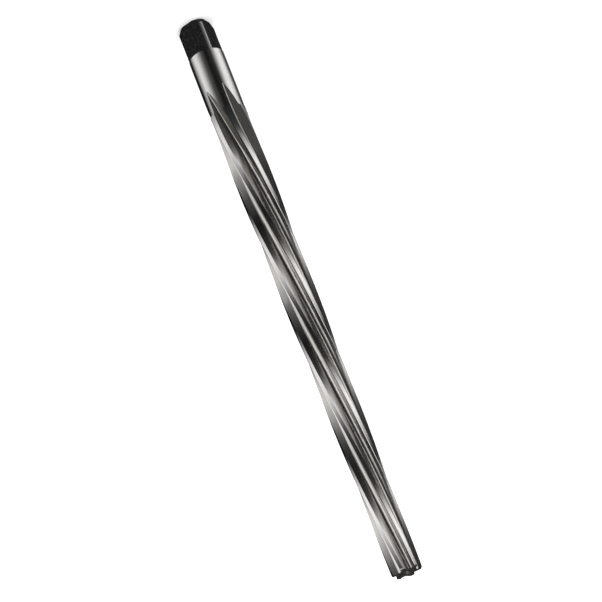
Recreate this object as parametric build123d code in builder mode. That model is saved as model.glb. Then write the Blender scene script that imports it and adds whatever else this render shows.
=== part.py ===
from build123d import *
from math import cos, degrees, pi, radians, sin, sqrt, tan
import os

# Hand taper reamer, one piece of hardened steel, standing on the end of its drive square.
# Z = 0 is the end face of the square and +Z runs to the tip.
# Angles are in degrees, counterclockwise as seen from the tip. Lengths are in millimetres.

# Overall lengths
overall_length = 255.0
fluted_length = 210.0

# Tapered body
tip_diameter = 12.0
taper_ratio = 50.0
tip_bevel = 0.4

# Plain shank
shank_diameter = 15.2

# Drive square
square_across_flats = 12.0
square_length = 16.0
end_chamfer_depth = 1.2
end_chamfer_length = 2.2

# Centre holes that the tool was ground between
tip_centre_diameter = 4.2
shank_centre_diameter = 5.3
pilot_diameter = 2.0
pilot_length = 2.2
centre_angle = 60.0

# Flutes on a left-hand helix, with cutting faces for right-hand cutting
flute_count = 6
flute_lead = 334.0
flute_phase = 17.7

# Section of one tooth and flute at the large end; it shrinks with the taper
margin_width = 0.35
land_width = 2.2
land_drop = 0.33
flute_depth = 4.0
root_behind_edge = 56.8
root_radius = 1.84

# Run-out of the flutes into the shank: the straight print of the grinding wheel where it stopped.
# The wheel's sharp rim shows there, and widens into the round root that the wheel swept on the helix.
wheel_radius = 170.0
rim_depth = 3.4
rim_behind_edge = 41.5
rim_root_radius = 0.3
full_depth_inset = 13.6
print_end_inset = 11.0
sweep_start_inset = 37.0

# How far the cutters reach past what they cut, and how finely they are drawn
cutter_overrun = 3.0
wall_overrun = 1.0
runout_stations = 9
body_stations = 18

# Derived sizes
shank_radius = shank_diameter / 2
tip_radius = tip_diameter / 2
cone_start = overall_length - fluted_length
cone_radius = tip_radius + fluted_length / (2 * taper_ratio)
step_height = cone_radius - shank_radius
tooth_pitch = 360.0 / flute_count
full_depth_start = cone_start + full_depth_inset
cutter_end = overall_length + cutter_overrun
outside_radius = cone_radius + cutter_overrun
margin_angle = degrees(margin_width / cone_radius)
heel_angle = degrees(land_width / cone_radius)
wheel_slope = 2 * pi * shank_radius / flute_lead
print_end = cone_start + print_end_inset
sweep_start = cone_start + sweep_start_inset


def radius_at(height):
    """Radius of the tapered body at a height."""
    return cone_radius - (height - cone_start) / (2 * taper_ratio)


def edge_angle(height):
    """Angle of the first cutting edge at a height."""
    return flute_phase - 360.0 * (height - cone_start) / flute_lead


def short_of_full_depth(height):
    """How far a height lies before the flute's full depth."""
    return max(full_depth_start - height, 0.0)


def lift_at(height):
    """How far the grinding wheel's rim has risen out of the flute at a height."""
    return wheel_radius - sqrt(wheel_radius**2 - short_of_full_depth(height) ** 2)


def along_runout(printed, swept, height):
    """A size of the section at a height: as the rim printed it, as it was swept, or smoothly between."""
    share = min(max((height - print_end) / (sweep_start - print_end), 0.0), 1.0)
    return printed + (swept - printed) * share * share * (3 - 2 * share)


def behind_edge(radius, angle):
    """A point of the section at a radius and an angle behind the cutting edge."""
    return Vector(radius * cos(radians(angle)), -radius * sin(radians(angle)))


def beyond(start, end, distance):
    """The line from start to end, carried on past its end."""
    return end + (end - start).normalized() * distance


def land_ends(height):
    """The land's two ends at a height: where its margin ends, and its heel."""
    edge = radius_at(height)
    return behind_edge(edge, margin_angle), behind_edge(edge * (1 - land_drop / cone_radius), heel_angle)


def wheel_move(height):
    """How far the wheel's rim has moved at a height: out of the steel, and aside by its tilt."""
    outward = behind_edge(lift_at(height), rim_behind_edge)
    aside = short_of_full_depth(height) * wheel_slope
    return outward + behind_edge(aside, rim_behind_edge - 90.0)


def flute_corners(height):
    """The flute cutter's corners at a height: heel, root, cutting face, then two clear of the body."""
    size = radius_at(height) / cone_radius
    heel = land_ends(height)[1]
    depth = along_runout(rim_depth, flute_depth, height)
    root_angle = along_runout(rim_behind_edge, root_behind_edge, height)
    root = behind_edge((cone_radius - depth) * size, root_angle)
    next_edge = behind_edge(cone_radius * size, tooth_pitch)
    corners = [
        beyond(root, heel, wall_overrun),
        root,
        beyond(root, next_edge, wall_overrun),
        behind_edge(outside_radius, tooth_pitch),
        behind_edge(outside_radius, heel_angle),
    ]
    return [corner + wheel_move(height) for corner in corners]


def relief_corners(height):
    """The relief cutter's corners at a height: a flat behind the margin, then two clear of the body."""
    margin_end, heel = land_ends(height)
    return [
        beyond(heel, margin_end, wall_overrun),
        beyond(margin_end, heel, cutter_overrun),
        behind_edge(outside_radius, tooth_pitch / 2),
        behind_edge(outside_radius, margin_angle),
    ]


def root_radius_at(height):
    """Radius of the flute's root."""
    return along_runout(rim_root_radius, root_radius * radius_at(height) / cone_radius, height)


def centre_hole_depth(mouth_diameter):
    """Depth of a centre hole: its cone, then its pilot."""
    cone = (mouth_diameter - pilot_diameter) / 2 / tan(radians(centre_angle / 2))
    return cone + pilot_length


def spread(start, end, count):
    """Heights spread evenly from start to end, in a count of steps."""
    return [start + (end - start) * i / count for i in range(count + 1)]


def flute_heights():
    """Heights of the flute cutter's sections, from clear of the shank to past the tip."""
    rise = shank_radius + wall_overrun - (cone_radius - rim_depth)
    runout_start = full_depth_start - sqrt(2 * wheel_radius * rise - rise**2)
    runout = spread(runout_start, full_depth_start, runout_stations)
    return runout + spread(full_depth_start, cutter_end, body_stations)[1:]


def section_plane(height, edge):
    """The plane across the axis at a height, with its x axis on a cutting edge's angle."""
    angle = radians(edge)
    return Plane(origin=(0, 0, height), x_dir=(cos(angle), sin(angle), 0), z_dir=(0, 0, 1))


# Turned blank, with the step up from the shank to the tapered body
with BuildPart() as blank:
    with BuildSketch(Plane.XZ):
        with BuildLine():
            Polyline(
                (0, 0),
                (shank_radius - end_chamfer_depth, 0),
                (shank_radius, end_chamfer_length),
                (shank_radius, cone_start - step_height),
                (cone_radius, cone_start),
                (radius_at(overall_length - tip_bevel), overall_length - tip_bevel),
                (tip_radius - tip_bevel, overall_length),
                (0, overall_length),
                close=True,
            )
        make_face()
    revolve(axis=Axis.Z)

# One flute: straight where the wheel runs out, and then along the helix
with BuildPart() as flute_cutter:
    for height in flute_heights():
        with BuildSketch(section_plane(height, edge_angle(max(height, full_depth_start)))):
            corners = flute_corners(height)
            with BuildLine():
                Polyline(*corners, close=True)
            make_face()
            root_corner = vertices().sort_by_distance(corners[1])[0]
            fillet(root_corner, radius=root_radius_at(height))
    loft()

# Relief of one land behind its margin
with BuildPart() as relief_cutter:
    for height in spread(cone_start - step_height, cutter_end, body_stations):
        with BuildSketch(section_plane(height, edge_angle(height))):
            with BuildLine():
                Polyline(*relief_corners(height), close=True)
            make_face()
    loft()

# The reamer: flutes, drive square and centre holes cut from the blank
with BuildPart() as reamer:
    add(blank.part)
    with PolarLocations(0, flute_count):
        add(relief_cutter.part, mode=Mode.SUBTRACT)
        add(flute_cutter.part, mode=Mode.SUBTRACT)
    with BuildSketch(Plane.XY):
        Rectangle(2 * shank_diameter, 2 * shank_diameter)
        Rectangle(square_across_flats, square_across_flats, mode=Mode.SUBTRACT)
    extrude(amount=square_length, mode=Mode.SUBTRACT)
    with Locations(Plane.XY.offset(overall_length)):
        tip_hole_depth = centre_hole_depth(tip_centre_diameter)
        CounterSinkHole(pilot_diameter / 2, tip_centre_diameter / 2, tip_hole_depth, centre_angle)
    with Locations(Plane.XY.rotated((180, 0, 0))):
        shank_hole_depth = centre_hole_depth(shank_centre_diameter)
        CounterSinkHole(pilot_diameter / 2, shank_centre_diameter / 2, shank_hole_depth, centre_angle)

reamer.part.label = "reamer"

os.makedirs("parts", exist_ok=True)
export_step(reamer.part, "parts/reamer.step")
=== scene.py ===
"""Studio scene of a hand taper reamer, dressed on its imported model.

The tool stands on the end of its drive square with its tip up. All lengths are in metres unless a
name says millimetres.
"""

import logging
import math
from dataclasses import dataclass, field
from enum import Enum

import bpy
from mathutils import Matrix, Vector

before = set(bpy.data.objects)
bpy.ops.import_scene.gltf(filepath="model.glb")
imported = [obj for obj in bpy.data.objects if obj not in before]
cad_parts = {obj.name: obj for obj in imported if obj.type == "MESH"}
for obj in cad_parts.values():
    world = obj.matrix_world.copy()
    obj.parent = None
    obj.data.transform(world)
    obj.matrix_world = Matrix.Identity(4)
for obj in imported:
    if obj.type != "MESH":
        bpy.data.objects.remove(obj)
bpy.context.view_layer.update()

log = logging.getLogger("reamer")

MM = 0.001
PICTURE_PX = 602
PICTURE_MIDDLE_PX = PICTURE_PX / 2
CAMERA_AZIMUTH_DEG = -112.5


class Sum(Enum):
    """Sums that a math node does."""

    ADD = "ADD"
    TAKE_AWAY = "SUBTRACT"
    TIMES = "MULTIPLY"
    SIZE = "ABSOLUTE"
    LARGER = "MAXIMUM"
    ANGLE = "ARCCOSINE"


class VectorSum(Enum):
    """Sums that a vector math node does."""

    LENGTH = "LENGTH"
    UNIT = "NORMALIZE"
    FACING = "DOT_PRODUCT"


class Mix(Enum):
    """What a mix node mixes.

    Socket 0 takes the second one's share. Numbers go into sockets 2 and 3 and come out of 0, and
    colours go into 6 and 7 and come out of 2.
    """

    NUMBERS = "FLOAT"
    COLOURS = "RGBA"


class Course(Enum):
    """How a mapped range runs from its start to its end."""

    STRAIGHT = "LINEAR"
    SMOOTH = "SMOOTHSTEP"


def srgb(code: str) -> tuple[float, float, float, float]:
    """Turn an sRGB hex colour to the linear colour that a shader takes.

    Args:
        code: Six hexadecimal digits, with or without a leading #.

    Returns:
        Linear red, green and blue, and an alpha of 1.
    """
    code = code.lstrip("#")
    parts = [int(code[i : i + 2], 16) / 255 for i in (0, 2, 4)]
    linear = [p / 12.92 if p <= 0.04045 else ((p + 0.055) / 1.055) ** 2.4 for p in parts]
    return (linear[0], linear[1], linear[2], 1.0)


def add_node(
    tree: bpy.types.NodeTree,
    kind: str,
    settings: dict[str, object] | None = None,
    links: dict[str | int, object] | None = None,
) -> bpy.types.Node:
    """Add a node with its settings and what goes into it.

    Args:
        tree: The node tree that gets the node.
        kind: The node's type name.
        settings: Attributes of the node by name. A choice is given as its Enum member.
        links: For each input, by name or number, an output socket to link or a value to set.

    Returns:
        The new node.
    """
    node = tree.nodes.new(kind)
    for name, value in (settings or {}).items():
        setattr(node, name, value.value if isinstance(value, Enum) else value)
    for name, value in (links or {}).items():
        socket = node.inputs[name]
        if isinstance(value, bpy.types.NodeSocket):
            tree.links.new(value, socket)
        else:
            socket.default_value = value
    return node


@dataclass
class ReamerZones:
    """Heights and radii, in millimetres, that part one finish of the tool from the next."""

    chamfer_end: float = 2.2
    shoulder: float = 16.0
    flutes_start: float = 45.0
    step_length: float = 0.5
    tip: float = 255.0
    half_across_flats: float = 6.0
    flat_seam_start: float = 0.02
    flat_seam_end: float = 0.12
    shank_radius: float = 7.6
    cone_radius: float = 8.1
    tip_radius: float = 6.0
    land_depth: float = 0.45
    flute_lead: float = 334.0
    seam: float = 0.04


@dataclass(frozen=True)
class GroundSteel:
    """Hardened high-speed steel, ground.

    The eye sees a mirror whose light and dark bands the wheel marks soften across their length, rings
    round the lands and the shank and streaks along the flutes. Real marks are some hundredths of a
    millimetre apart, too fine to show, so they are drawn about ten times as coarse.
    """

    turned: str = "#EBEAE9"
    turned_mark: str = "#DCDAD8"
    flute: str = "#DEDBD7"
    flute_mark: str = "#C9C5C0"
    roughness: float = 0.15
    flute_roughness: float = 0.2
    roughness_spread: float = 0.05
    ring_spacing_mm: float = 0.3
    ring_stretch: float = 0.25
    streak_spacing_mm: float = 0.22
    streak_stretch: float = 0.02
    mark_detail: float = 3.0
    mark_low: float = 0.3
    mark_high: float = 0.7
    mark_height_mm: float = 0.0005
    mark_strength: float = 0.5


@dataclass(frozen=True)
class BlackOxide:
    """Steel blackened in a hot salt bath.

    The eye sees a dull black that hardly shines, broken up by pale specks where the bath took less.
    """

    base: str = "#080707"
    speck: str = "#2C2A2B"
    roughness: float = 0.5
    specular: float = 0.08
    speck_size_mm: float = 0.45
    speck_detail: float = 4.0
    speck_from: float = 0.4
    speck_to: float = 0.75
    grain_height_mm: float = 0.01
    grain_strength: float = 0.5


@dataclass(frozen=True)
class WhitePaper:
    """Matt white studio paper. The eye sees an even white, with the tool's soft shade and no shine."""

    colour: str = "#FFFFFF"
    roughness: float = 0.9
    specular: float = 0.0


@dataclass
class ReamerDress:
    """The finish of the one-piece tool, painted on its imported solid."""

    zones: ReamerZones = field(default_factory=ReamerZones)
    steel: GroundSteel = field(default_factory=GroundSteel)
    oxide: BlackOxide = field(default_factory=BlackOxide)

    def in_mm(self, tree: bpy.types.NodeTree) -> bpy.types.NodeSocket:
        """Give the place on the tool in millimetres.

        Args:
            tree: The material's node tree.

        Returns:
            The place.
        """
        place = add_node(tree, "ShaderNodeTexCoord").outputs["Object"]
        scaled = add_node(
            tree, "ShaderNodeMapping", links={"Vector": place, "Scale": (1 / MM, 1 / MM, 1 / MM)}
        )
        return scaled.outputs["Vector"]

    def radius(self, tree: bpy.types.NodeTree, axes: bpy.types.Node) -> bpy.types.NodeSocket:
        """Work out the distance from the tool's axis.

        Args:
            tree: The material's node tree.
            axes: The node that holds the place's three coordinates.

        Returns:
            The radius in millimetres.
        """
        across = add_node(
            tree, "ShaderNodeCombineXYZ", links={"X": axes.outputs["X"], "Y": axes.outputs["Y"]}
        ).outputs["Vector"]
        length = add_node(tree, "ShaderNodeVectorMath", {"operation": VectorSum.LENGTH}, {0: across})
        return length.outputs["Value"]

    def bare_steel(self, tree: bpy.types.NodeTree, axes: bpy.types.Node) -> bpy.types.NodeSocket:
        """Mask what was ground after blackening: all past the shoulder, and the square's corner lands.

        Args:
            tree: The material's node tree.
            axes: The node that holds the place's three coordinates.

        Returns:
            The mask, 1 on bare steel.
        """
        zones, height = self.zones, axes.outputs["Z"]
        past_shoulder = add_node(
            tree,
            "ShaderNodeMapRange",
            {"interpolation_type": Course.SMOOTH},
            {
                "Value": height,
                "From Min": zones.shoulder - zones.seam,
                "From Max": zones.shoulder + zones.seam,
            },
        ).outputs["Result"]
        along_x = add_node(
            tree, "ShaderNodeMath", {"operation": Sum.SIZE}, {0: axes.outputs["X"]}
        ).outputs["Value"]
        along_y = add_node(
            tree, "ShaderNodeMath", {"operation": Sum.SIZE}, {0: axes.outputs["Y"]}
        ).outputs["Value"]
        widest = add_node(
            tree, "ShaderNodeMath", {"operation": Sum.LARGER}, {0: along_x, 1: along_y}
        ).outputs["Value"]
        off_flats = add_node(
            tree,
            "ShaderNodeMapRange",
            {"interpolation_type": Course.SMOOTH},
            {
                "Value": widest,
                "From Min": zones.half_across_flats - zones.flat_seam_start,
                "From Max": zones.half_across_flats - zones.flat_seam_end,
            },
        ).outputs["Result"]
        past_chamfer = add_node(
            tree,
            "ShaderNodeMapRange",
            {"interpolation_type": Course.SMOOTH},
            {
                "Value": height,
                "From Min": zones.chamfer_end - zones.seam,
                "From Max": zones.chamfer_end + zones.seam,
            },
        ).outputs["Result"]
        corner_land = add_node(
            tree, "ShaderNodeMath", {"operation": Sum.TIMES}, {0: off_flats, 1: past_chamfer}
        ).outputs["Value"]
        bare = add_node(
            tree, "ShaderNodeMath", {"operation": Sum.LARGER}, {0: past_shoulder, 1: corner_land}
        )
        return bare.outputs["Value"]

    def blank_radius(
        self, tree: bpy.types.NodeTree, height: bpy.types.NodeSocket
    ) -> bpy.types.NodeSocket:
        """Work out the radius of the turned blank: the shank's, and past the step the tapered body's.

        Args:
            tree: The material's node tree.
            height: Height above the end of the square.

        Returns:
            The radius in millimetres.
        """
        zones = self.zones
        cone = add_node(
            tree,
            "ShaderNodeMapRange",
            {"interpolation_type": Course.STRAIGHT},
            {
                "Value": height,
                "From Min": zones.flutes_start,
                "From Max": zones.tip,
                "To Min": zones.cone_radius,
                "To Max": zones.tip_radius,
            },
        ).outputs["Result"]
        on_cone = add_node(
            tree,
            "ShaderNodeMapRange",
            {"interpolation_type": Course.SMOOTH},
            {
                "Value": height,
                "From Min": zones.flutes_start - zones.step_length,
                "From Max": zones.flutes_start,
            },
        ).outputs["Result"]
        blank = add_node(
            tree, "ShaderNodeMix", {"data_type": Mix.NUMBERS}, {0: on_cone, 2: zones.shank_radius, 3: cone}
        )
        return blank.outputs[0]

    def in_flute(
        self, tree: bpy.types.NodeTree, height: bpy.types.NodeSocket, radius: bpy.types.NodeSocket
    ) -> bpy.types.NodeSocket:
        """Mask the flutes, which lie deeper than the lands.

        Args:
            tree: The material's node tree.
            height: Height above the end of the square.
            radius: Distance from the axis.

        Returns:
            The mask, 1 in a flute.
        """
        depth = add_node(
            tree,
            "ShaderNodeMath",
            {"operation": Sum.TAKE_AWAY},
            {0: self.blank_radius(tree, height), 1: radius},
        ).outputs["Value"]
        deeper = add_node(
            tree,
            "ShaderNodeMapRange",
            {"interpolation_type": Course.SMOOTH},
            {
                "Value": depth,
                "From Min": self.zones.land_depth - self.zones.seam,
                "From Max": self.zones.land_depth + self.zones.seam,
            },
        )
        return deeper.outputs["Result"]

    def marks(
        self,
        tree: bpy.types.NodeTree,
        place: bpy.types.NodeSocket,
        per_mm: tuple[float, float, float],
    ) -> bpy.types.NodeSocket:
        """Draw wheel marks, close together one way and drawn out the other.

        Args:
            tree: The material's node tree.
            place: Place on the tool in millimetres.
            per_mm: How many marks there are to a millimetre along each axis.

        Returns:
            The marks.
        """
        drawn_out = add_node(tree, "ShaderNodeMapping", links={"Vector": place, "Scale": per_mm})
        noise = add_node(
            tree,
            "ShaderNodeTexNoise",
            links={"Vector": drawn_out.outputs["Vector"], "Scale": 1.0, "Detail": self.steel.mark_detail},
        )
        return noise.outputs["Fac"]

    def rings(self, tree: bpy.types.NodeTree, place: bpy.types.NodeSocket) -> bpy.types.NodeSocket:
        """Draw the marks of cylindrical grinding, which run round the tool.

        Args:
            tree: The material's node tree.
            place: Place on the tool in millimetres.

        Returns:
            The marks.
        """
        around = self.steel.ring_stretch
        return self.marks(tree, place, (around, around, 1 / self.steel.ring_spacing_mm))

    def streaks(
        self, tree: bpy.types.NodeTree, place: bpy.types.NodeSocket, height: bpy.types.NodeSocket
    ) -> bpy.types.NodeSocket:
        """Draw the marks of flute grinding, which run along the helix.

        Args:
            tree: The material's node tree.
            place: Place on the tool in millimetres.
            height: Height above the end of the square.

        Returns:
            The marks.
        """
        twist = add_node(
            tree,
            "ShaderNodeMath",
            {"operation": Sum.TIMES},
            {0: height, 1: 2 * math.pi / self.zones.flute_lead},
        ).outputs["Value"]
        untwisted = add_node(
            tree, "ShaderNodeVectorRotate", {"rotation_type": "Z_AXIS"}, {"Vector": place, "Angle": twist}
        ).outputs["Vector"]
        across = 1 / self.steel.streak_spacing_mm
        return self.marks(tree, untwisted, (across, across, self.steel.streak_stretch))

    def steel_colour(
        self,
        tree: bpy.types.NodeTree,
        flute: bpy.types.NodeSocket,
        rings: bpy.types.NodeSocket,
        streaks: bpy.types.NodeSocket,
    ) -> bpy.types.NodeSocket:
        """Colour the steel, a little darker in its marks and in the flutes.

        Args:
            tree: The material's node tree.
            flute: The mask of the flutes.
            rings: The marks round the tool.
            streaks: The marks along the flutes.

        Returns:
            The colour.
        """
        steel = self.steel
        turned = add_node(
            tree,
            "ShaderNodeMix",
            {"data_type": Mix.COLOURS},
            {0: rings, 6: srgb(steel.turned), 7: srgb(steel.turned_mark)},
        ).outputs[2]
        ground = add_node(
            tree,
            "ShaderNodeMix",
            {"data_type": Mix.COLOURS},
            {0: streaks, 6: srgb(steel.flute), 7: srgb(steel.flute_mark)},
        ).outputs[2]
        colour = add_node(
            tree, "ShaderNodeMix", {"data_type": Mix.COLOURS}, {0: flute, 6: turned, 7: ground}
        )
        return colour.outputs[2]

    def steel_roughness(
        self, tree: bpy.types.NodeTree, flute: bpy.types.NodeSocket, marks: bpy.types.NodeSocket
    ) -> bpy.types.NodeSocket:
        """Work out how rough the steel is, more so in the flutes, and uneven with its marks.

        Args:
            tree: The material's node tree.
            flute: The mask of the flutes.
            marks: The wheel marks.

        Returns:
            The roughness.
        """
        steel = self.steel
        middling = add_node(
            tree,
            "ShaderNodeMix",
            {"data_type": Mix.NUMBERS},
            {0: flute, 2: steel.roughness, 3: steel.flute_roughness},
        ).outputs[0]
        spread = add_node(
            tree,
            "ShaderNodeMapRange",
            {"interpolation_type": Course.STRAIGHT},
            {
                "Value": marks,
                "From Min": steel.mark_low,
                "From Max": steel.mark_high,
                "To Min": -steel.roughness_spread,
                "To Max": steel.roughness_spread,
            },
        ).outputs["Result"]
        rough = add_node(tree, "ShaderNodeMath", {"operation": Sum.ADD}, {0: middling, 1: spread})
        return rough.outputs["Value"]

    def steel_shader(
        self,
        tree: bpy.types.NodeTree,
        place: bpy.types.NodeSocket,
        height: bpy.types.NodeSocket,
        radius: bpy.types.NodeSocket,
    ) -> bpy.types.NodeSocket:
        """Build the ground steel, with rings on what is turned and streaks in the flutes.

        Args:
            tree: The material's node tree.
            place: Place on the tool in millimetres.
            height: Height above the end of the square.
            radius: Distance from the axis.

        Returns:
            The shader.
        """
        flute = self.in_flute(tree, height, radius)
        rings, streaks = self.rings(tree, place), self.streaks(tree, place, height)
        marks = add_node(
            tree, "ShaderNodeMix", {"data_type": Mix.NUMBERS}, {0: flute, 2: rings, 3: streaks}
        ).outputs[0]
        bump = add_node(
            tree,
            "ShaderNodeBump",
            links={
                "Height": marks,
                "Strength": self.steel.mark_strength,
                "Distance": self.steel.mark_height_mm * MM,
            },
        ).outputs["Normal"]
        shader = add_node(
            tree,
            "ShaderNodeBsdfPrincipled",
            links={
                "Base Color": self.steel_colour(tree, flute, rings, streaks),
                "Metallic": 1.0,
                "Roughness": self.steel_roughness(tree, flute, marks),
                "Normal": bump,
            },
        )
        return shader.outputs["BSDF"]

    def oxide_shader(
        self, tree: bpy.types.NodeTree, place: bpy.types.NodeSocket
    ) -> bpy.types.NodeSocket:
        """Build the black oxide of the square's flats.

        Args:
            tree: The material's node tree.
            place: Place on the tool in millimetres.

        Returns:
            The shader.
        """
        oxide = self.oxide
        specks = add_node(
            tree,
            "ShaderNodeTexNoise",
            links={"Vector": place, "Scale": 1 / oxide.speck_size_mm, "Detail": oxide.speck_detail},
        ).outputs["Fac"]
        share = add_node(
            tree,
            "ShaderNodeMapRange",
            {"interpolation_type": Course.SMOOTH},
            {"Value": specks, "From Min": oxide.speck_from, "From Max": oxide.speck_to},
        ).outputs["Result"]
        colour = add_node(
            tree,
            "ShaderNodeMix",
            {"data_type": Mix.COLOURS},
            {0: share, 6: srgb(oxide.base), 7: srgb(oxide.speck)},
        ).outputs[2]
        bump = add_node(
            tree,
            "ShaderNodeBump",
            links={
                "Height": specks,
                "Strength": oxide.grain_strength,
                "Distance": oxide.grain_height_mm * MM,
            },
        ).outputs["Normal"]
        shader = add_node(
            tree,
            "ShaderNodeBsdfPrincipled",
            links={
                "Base Color": colour,
                "Roughness": oxide.roughness,
                "Specular IOR Level": oxide.specular,
                "Normal": bump,
            },
        )
        return shader.outputs["BSDF"]

    def material(self) -> bpy.types.Material:
        """Build the ground steel with its blackened square.

        Returns:
            The material.
        """
        made = bpy.data.materials.new("ground_steel_with_black_oxide_square")
        made.use_nodes = True
        tree = made.node_tree
        tree.nodes.clear()
        place = self.in_mm(tree)
        axes = add_node(tree, "ShaderNodeSeparateXYZ", links={0: place})
        height = axes.outputs["Z"]
        radius = self.radius(tree, axes)
        # The steel is bright and shows the studio. The oxide is dull and shows almost nothing of it.
        shown = add_node(
            tree,
            "ShaderNodeMixShader",
            links={
                0: self.bare_steel(tree, axes),
                1: self.oxide_shader(tree, place),
                2: self.steel_shader(tree, place, height, radius),
            },
        )
        add_node(tree, "ShaderNodeOutputMaterial", links={"Surface": shown.outputs["Shader"]})
        return made

    def dress(self, node: bpy.types.Object) -> None:
        """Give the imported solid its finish.

        Args:
            node: The CAD node of the tool.
        """
        node.data.materials.clear()
        node.data.materials.append(self.material())
        log.info("dressed %s", node.name)


@dataclass(frozen=True)
class SoftBox:
    """An upright soft box, placed by its angle from the camera towards the picture's right.

    It is bright across its middle and fades to its edges. Its light may change from what the square
    mirrors of it to what the tip does, beginning at a share of the way, and it may lean between them.
    """

    aside_deg: float
    bright_deg: float
    fade_deg: float
    square_light: float
    tip_light: float
    lean_deg: float = 0.0
    starts: float = 0.0

    def light(
        self,
        tree: bpy.types.NodeTree,
        level: bpy.types.NodeSocket,
        to_tip: bpy.types.NodeSocket,
        camera_azimuth_deg: float,
    ) -> bpy.types.NodeSocket:
        """Give the box's light from a direction.

        Args:
            tree: The world's node tree.
            level: The direction that a ray leaves in, without its slope.
            to_tip: 0 for rays that the square's end throws, and 1 for those of the tip.
            camera_azimuth_deg: The angle that the camera stands at.

        Returns:
            The light from the direction.
        """
        middle = math.radians(camera_azimuth_deg - self.aside_deg)
        # The box stands where its angle says for the middle of the tool, and leans about that.
        lean = add_node(
            tree, "ShaderNodeMath", {"operation": Sum.TAKE_AWAY}, {0: to_tip, 1: 0.5}
        ).outputs["Value"]
        turn = add_node(
            tree, "ShaderNodeMath", {"operation": Sum.TIMES}, {0: lean, 1: math.radians(self.lean_deg)}
        ).outputs["Value"]
        leaned = add_node(
            tree, "ShaderNodeVectorRotate", {"rotation_type": "Z_AXIS"}, {"Vector": level, "Angle": turn}
        ).outputs["Vector"]
        unit = add_node(
            tree, "ShaderNodeVectorMath", {"operation": VectorSum.UNIT}, {0: leaned}
        ).outputs["Vector"]
        facing = add_node(
            tree,
            "ShaderNodeVectorMath",
            {"operation": VectorSum.FACING},
            {0: unit, 1: (math.cos(middle), math.sin(middle), 0.0)},
        ).outputs["Value"]
        apart = add_node(tree, "ShaderNodeMath", {"operation": Sum.ANGLE}, {0: facing}).outputs["Value"]
        shape = add_node(
            tree,
            "ShaderNodeMapRange",
            {"interpolation_type": Course.SMOOTH},
            {
                "Value": apart,
                "From Min": math.radians(self.fade_deg),
                "From Max": math.radians(self.bright_deg),
            },
        ).outputs["Result"]
        brightness = add_node(
            tree,
            "ShaderNodeMapRange",
            {"interpolation_type": Course.STRAIGHT},
            {
                "Value": to_tip,
                "From Min": self.starts,
                "To Min": self.square_light,
                "To Max": self.tip_light,
            },
        ).outputs["Result"]
        light = add_node(tree, "ShaderNodeMath", {"operation": Sum.TIMES}, {0: shape, 1: brightness})
        return light.outputs["Value"]


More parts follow.
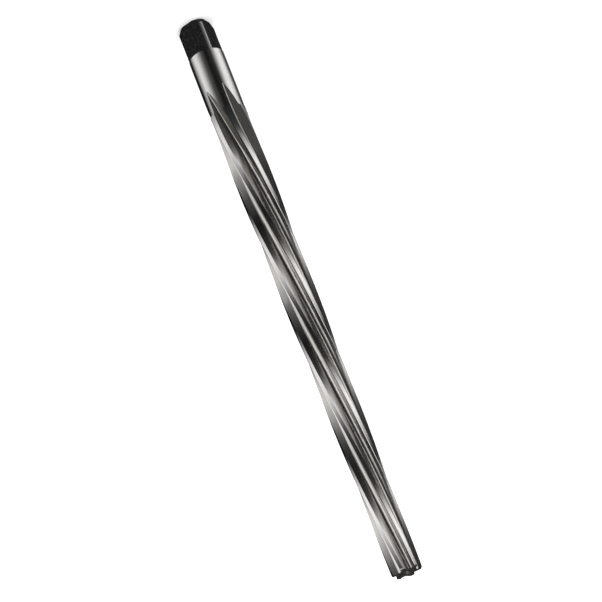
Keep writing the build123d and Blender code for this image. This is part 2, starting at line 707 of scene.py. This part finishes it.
@dataclass
class Studio:
    """The pale floor and the soft boxes that the bright steel mirrors."""

    camera_azimuth_deg: float = CAMERA_AZIMUTH_DEG
    floor_size: float = 12.0
    floor_light: float = 1.4
    paper: WhitePaper = field(default_factory=WhitePaper)
    boxes: tuple[SoftBox, ...] = (
        # The large boxes to the left, to the right and behind the tool.
        SoftBox(
            aside_deg=-70.0, bright_deg=3.0, fade_deg=54.0, square_light=0.86, tip_light=1.16, lean_deg=10.0
        ),
        SoftBox(
            aside_deg=82.0, bright_deg=4.0, fade_deg=48.0, square_light=1.0, tip_light=1.2, lean_deg=-5.0
        ),
        SoftBox(aside_deg=174.0, bright_deg=4.0, fade_deg=46.0, square_light=0.56, tip_light=0.56),
        # Faint cards on both sides of the camera: at the square's end, and one past the flutes' middle.
        SoftBox(aside_deg=-28.0, bright_deg=0.0, fade_deg=34.0, square_light=0.08, tip_light=0.0),
        SoftBox(aside_deg=-28.0, bright_deg=0.0, fade_deg=34.0, square_light=0.0, tip_light=0.15, starts=0.7),
        SoftBox(aside_deg=36.0, bright_deg=0.0, fade_deg=30.0, square_light=0.03, tip_light=0.0),
        # What little light comes from the camera's own side.
        SoftBox(aside_deg=0.0, bright_deg=40.0, fade_deg=90.0, square_light=0.006, tip_light=0.026),
    )
    square_slope: float = -0.536
    tip_slope: float = -0.322
    dark_from_slope: float = 0.02
    dark_to_slope: float = 0.2
    overhead_from_slope: float = 0.6
    overhead_to_slope: float = 0.9
    overhead_light: float = 0.6

    def floor(self) -> None:
        """Lay the pale floor that the tool stands on.

        The steel doesn't mirror it, because its reflections are those of the boxes alone.
        """
        bpy.ops.object.select_all(action="DESELECT")
        bpy.ops.mesh.primitive_plane_add(size=self.floor_size, location=(0, 0, 0))
        floor = bpy.context.active_object
        floor.name = "floor"
        material = bpy.data.materials.new("matt_white_paper")
        material.use_nodes = True
        shader = material.node_tree.nodes["Principled BSDF"]
        shader.inputs["Base Color"].default_value = srgb(self.paper.colour)
        shader.inputs["Roughness"].default_value = self.paper.roughness
        shader.inputs["Specular IOR Level"].default_value = self.paper.specular
        floor.data.materials.append(material)
        floor.visible_glossy = False
        log.info("laid %s", floor.name)

    def around(
        self, tree: bpy.types.NodeTree, way: bpy.types.NodeSocket, to_tip: bpy.types.NodeSocket
    ) -> bpy.types.NodeSocket:
        """Add up the soft boxes that stand around the tool.

        Args:
            tree: The world's node tree.
            way: The direction that a ray leaves in.
            to_tip: 0 for rays that the square's end throws, and 1 for those of the tip.

        Returns:
            The light from the direction.
        """
        axes = add_node(tree, "ShaderNodeSeparateXYZ", links={0: way})
        level = add_node(
            tree, "ShaderNodeCombineXYZ", links={"X": axes.outputs["X"], "Y": axes.outputs["Y"]}
        ).outputs["Vector"]
        total: bpy.types.NodeSocket | float = 0.0
        for box in self.boxes:
            light = box.light(tree, level, to_tip, self.camera_azimuth_deg)
            total = add_node(
                tree, "ShaderNodeMath", {"operation": Sum.ADD}, {0: total, 1: light}
            ).outputs["Value"]
        return total

    def mirrored(self, tree: bpy.types.NodeTree) -> bpy.types.NodeSocket:
        """Work out the light that the steel mirrors from every direction.

        Args:
            tree: The world's node tree.

        Returns:
            The light.
        """
        way = add_node(tree, "ShaderNodeTexCoord").outputs["Generated"]
        slope = add_node(tree, "ShaderNodeSeparateXYZ", links={0: way}).outputs["Z"]
        to_tip = add_node(
            tree,
            "ShaderNodeMapRange",
            {"interpolation_type": Course.STRAIGHT},
            {"Value": slope, "From Min": self.square_slope, "From Max": self.tip_slope},
        ).outputs["Result"]
        # Above the boxes the studio is dark, but for a light overhead that only steep views mirror.
        below = add_node(
            tree,
            "ShaderNodeMapRange",
            {"interpolation_type": Course.SMOOTH},
            {"Value": slope, "From Min": self.dark_to_slope, "From Max": self.dark_from_slope},
        ).outputs["Result"]
        low = add_node(
            tree, "ShaderNodeMath", {"operation": Sum.TIMES}, {0: self.around(tree, way, to_tip), 1: below}
        ).outputs["Value"]
        above = add_node(
            tree,
            "ShaderNodeMapRange",
            {"interpolation_type": Course.SMOOTH},
            {"Value": slope, "From Min": self.overhead_from_slope, "From Max": self.overhead_to_slope},
        ).outputs["Result"]
        overhead = add_node(
            tree, "ShaderNodeMath", {"operation": Sum.TIMES}, {0: above, 1: self.overhead_light}
        ).outputs["Value"]
        light = add_node(tree, "ShaderNodeMath", {"operation": Sum.ADD}, {0: low, 1: overhead})
        return light.outputs["Value"]

    def lights(self) -> None:
        """Surround the tool with soft boxes and dark gaps, as its steel mirrors them.

        All that isn't mirrored is lit by plain white light.
        """
        world = bpy.data.worlds.new("soft_boxes")
        bpy.context.scene.world = world
        world.use_nodes = True
        tree = world.node_tree
        tree.nodes.clear()
        white = srgb("#FFFFFF")
        studio = add_node(
            tree, "ShaderNodeBackground", links={"Color": white, "Strength": self.mirrored(tree)}
        ).outputs["Background"]
        plain = add_node(
            tree, "ShaderNodeBackground", links={"Color": white, "Strength": self.floor_light}
        ).outputs["Background"]
        path = add_node(tree, "ShaderNodeLightPath")
        shown = add_node(
            tree,
            "ShaderNodeMixShader",
            links={0: path.outputs["Is Glossy Ray"], 1: plain, 2: studio},
        )
        add_node(tree, "ShaderNodeOutputWorld", links={"Surface": shown.outputs["Shader"]})
        log.info("hung %s", world.name)

    def develop(self) -> None:
        """Show the light without a film curve, so that white paper comes out white."""
        bpy.context.scene.view_settings.view_transform = "Standard"


@dataclass
class Viewpoint:
    """The camera at the photograph's viewing angle."""

    azimuth_deg: float = CAMERA_AZIMUTH_DEG
    elevation_deg: float = 26.0
    distance: float = 0.962
    middle_height: float = 0.1275
    focal_px: float = 2443.0
    sensor_mm: float = 36.0
    middle_px: tuple[float, float] = (295.05, 284.8)
    tip_direction_px: tuple[float, float] = (0.3635, 0.9316)
    clip_ratio: float = 100.0

    def make(self) -> bpy.types.Object:
        """Place the camera.

        Returns:
            The camera object.
        """
        azimuth, elevation = math.radians(self.azimuth_deg), math.radians(self.elevation_deg)
        back = Vector(
            (
                math.cos(azimuth) * math.cos(elevation),
                math.sin(azimuth) * math.cos(elevation),
                math.sin(elevation),
            )
        )
        level_right = Vector((-math.sin(azimuth), math.cos(azimuth), 0))
        level_up = back.cross(level_right)
        # The tool's axis is the level camera's up. Roll the camera until it lies as photographed.
        tip_x, tip_y = self.tip_direction_px[0], -self.tip_direction_px[1]
        roll = math.atan2(tip_y, tip_x) - math.pi / 2
        right = level_right * math.cos(roll) - level_up * math.sin(roll)
        up = level_right * math.sin(roll) + level_up * math.cos(roll)
        place = Vector((0, 0, self.middle_height)) + back * self.distance
        # The lens is turned, and not shifted, until the tool's middle falls where it is photographed.
        aside = (self.middle_px[0] - PICTURE_MIDDLE_PX) / self.focal_px
        above = (PICTURE_MIDDLE_PX - self.middle_px[1]) / self.focal_px
        back = (back + right * aside + up * above).normalized()
        right = up.cross(back).normalized()
        up = back.cross(right)
        bpy.ops.object.select_all(action="DESELECT")
        bpy.ops.object.camera_add()
        camera = bpy.context.active_object
        camera.name = "camera"
        turn = Matrix((right, up, back)).transposed().to_4x4()
        camera.matrix_world = Matrix.Translation(place) @ turn
        camera.data.sensor_width = self.sensor_mm
        camera.data.lens = self.focal_px * self.sensor_mm / PICTURE_PX
        camera.data.clip_start = self.distance / self.clip_ratio
        camera.data.clip_end = self.distance * self.clip_ratio
        bpy.context.scene.camera = camera
        log.info("placed %s", camera.name)
        return camera


def main() -> None:
    """Build the scene piece by piece: the camera, the tool's finish and the studio."""
    logging.basicConfig(level=logging.INFO, format="%(name)s: %(message)s")
    Viewpoint().make()
    ReamerDress().dress(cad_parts["reamer"])
    studio = Studio()
    studio.floor()
    studio.lights()
    studio.develop()
    bpy.context.view_layer.update()


if __name__ == "__main__":
    main()
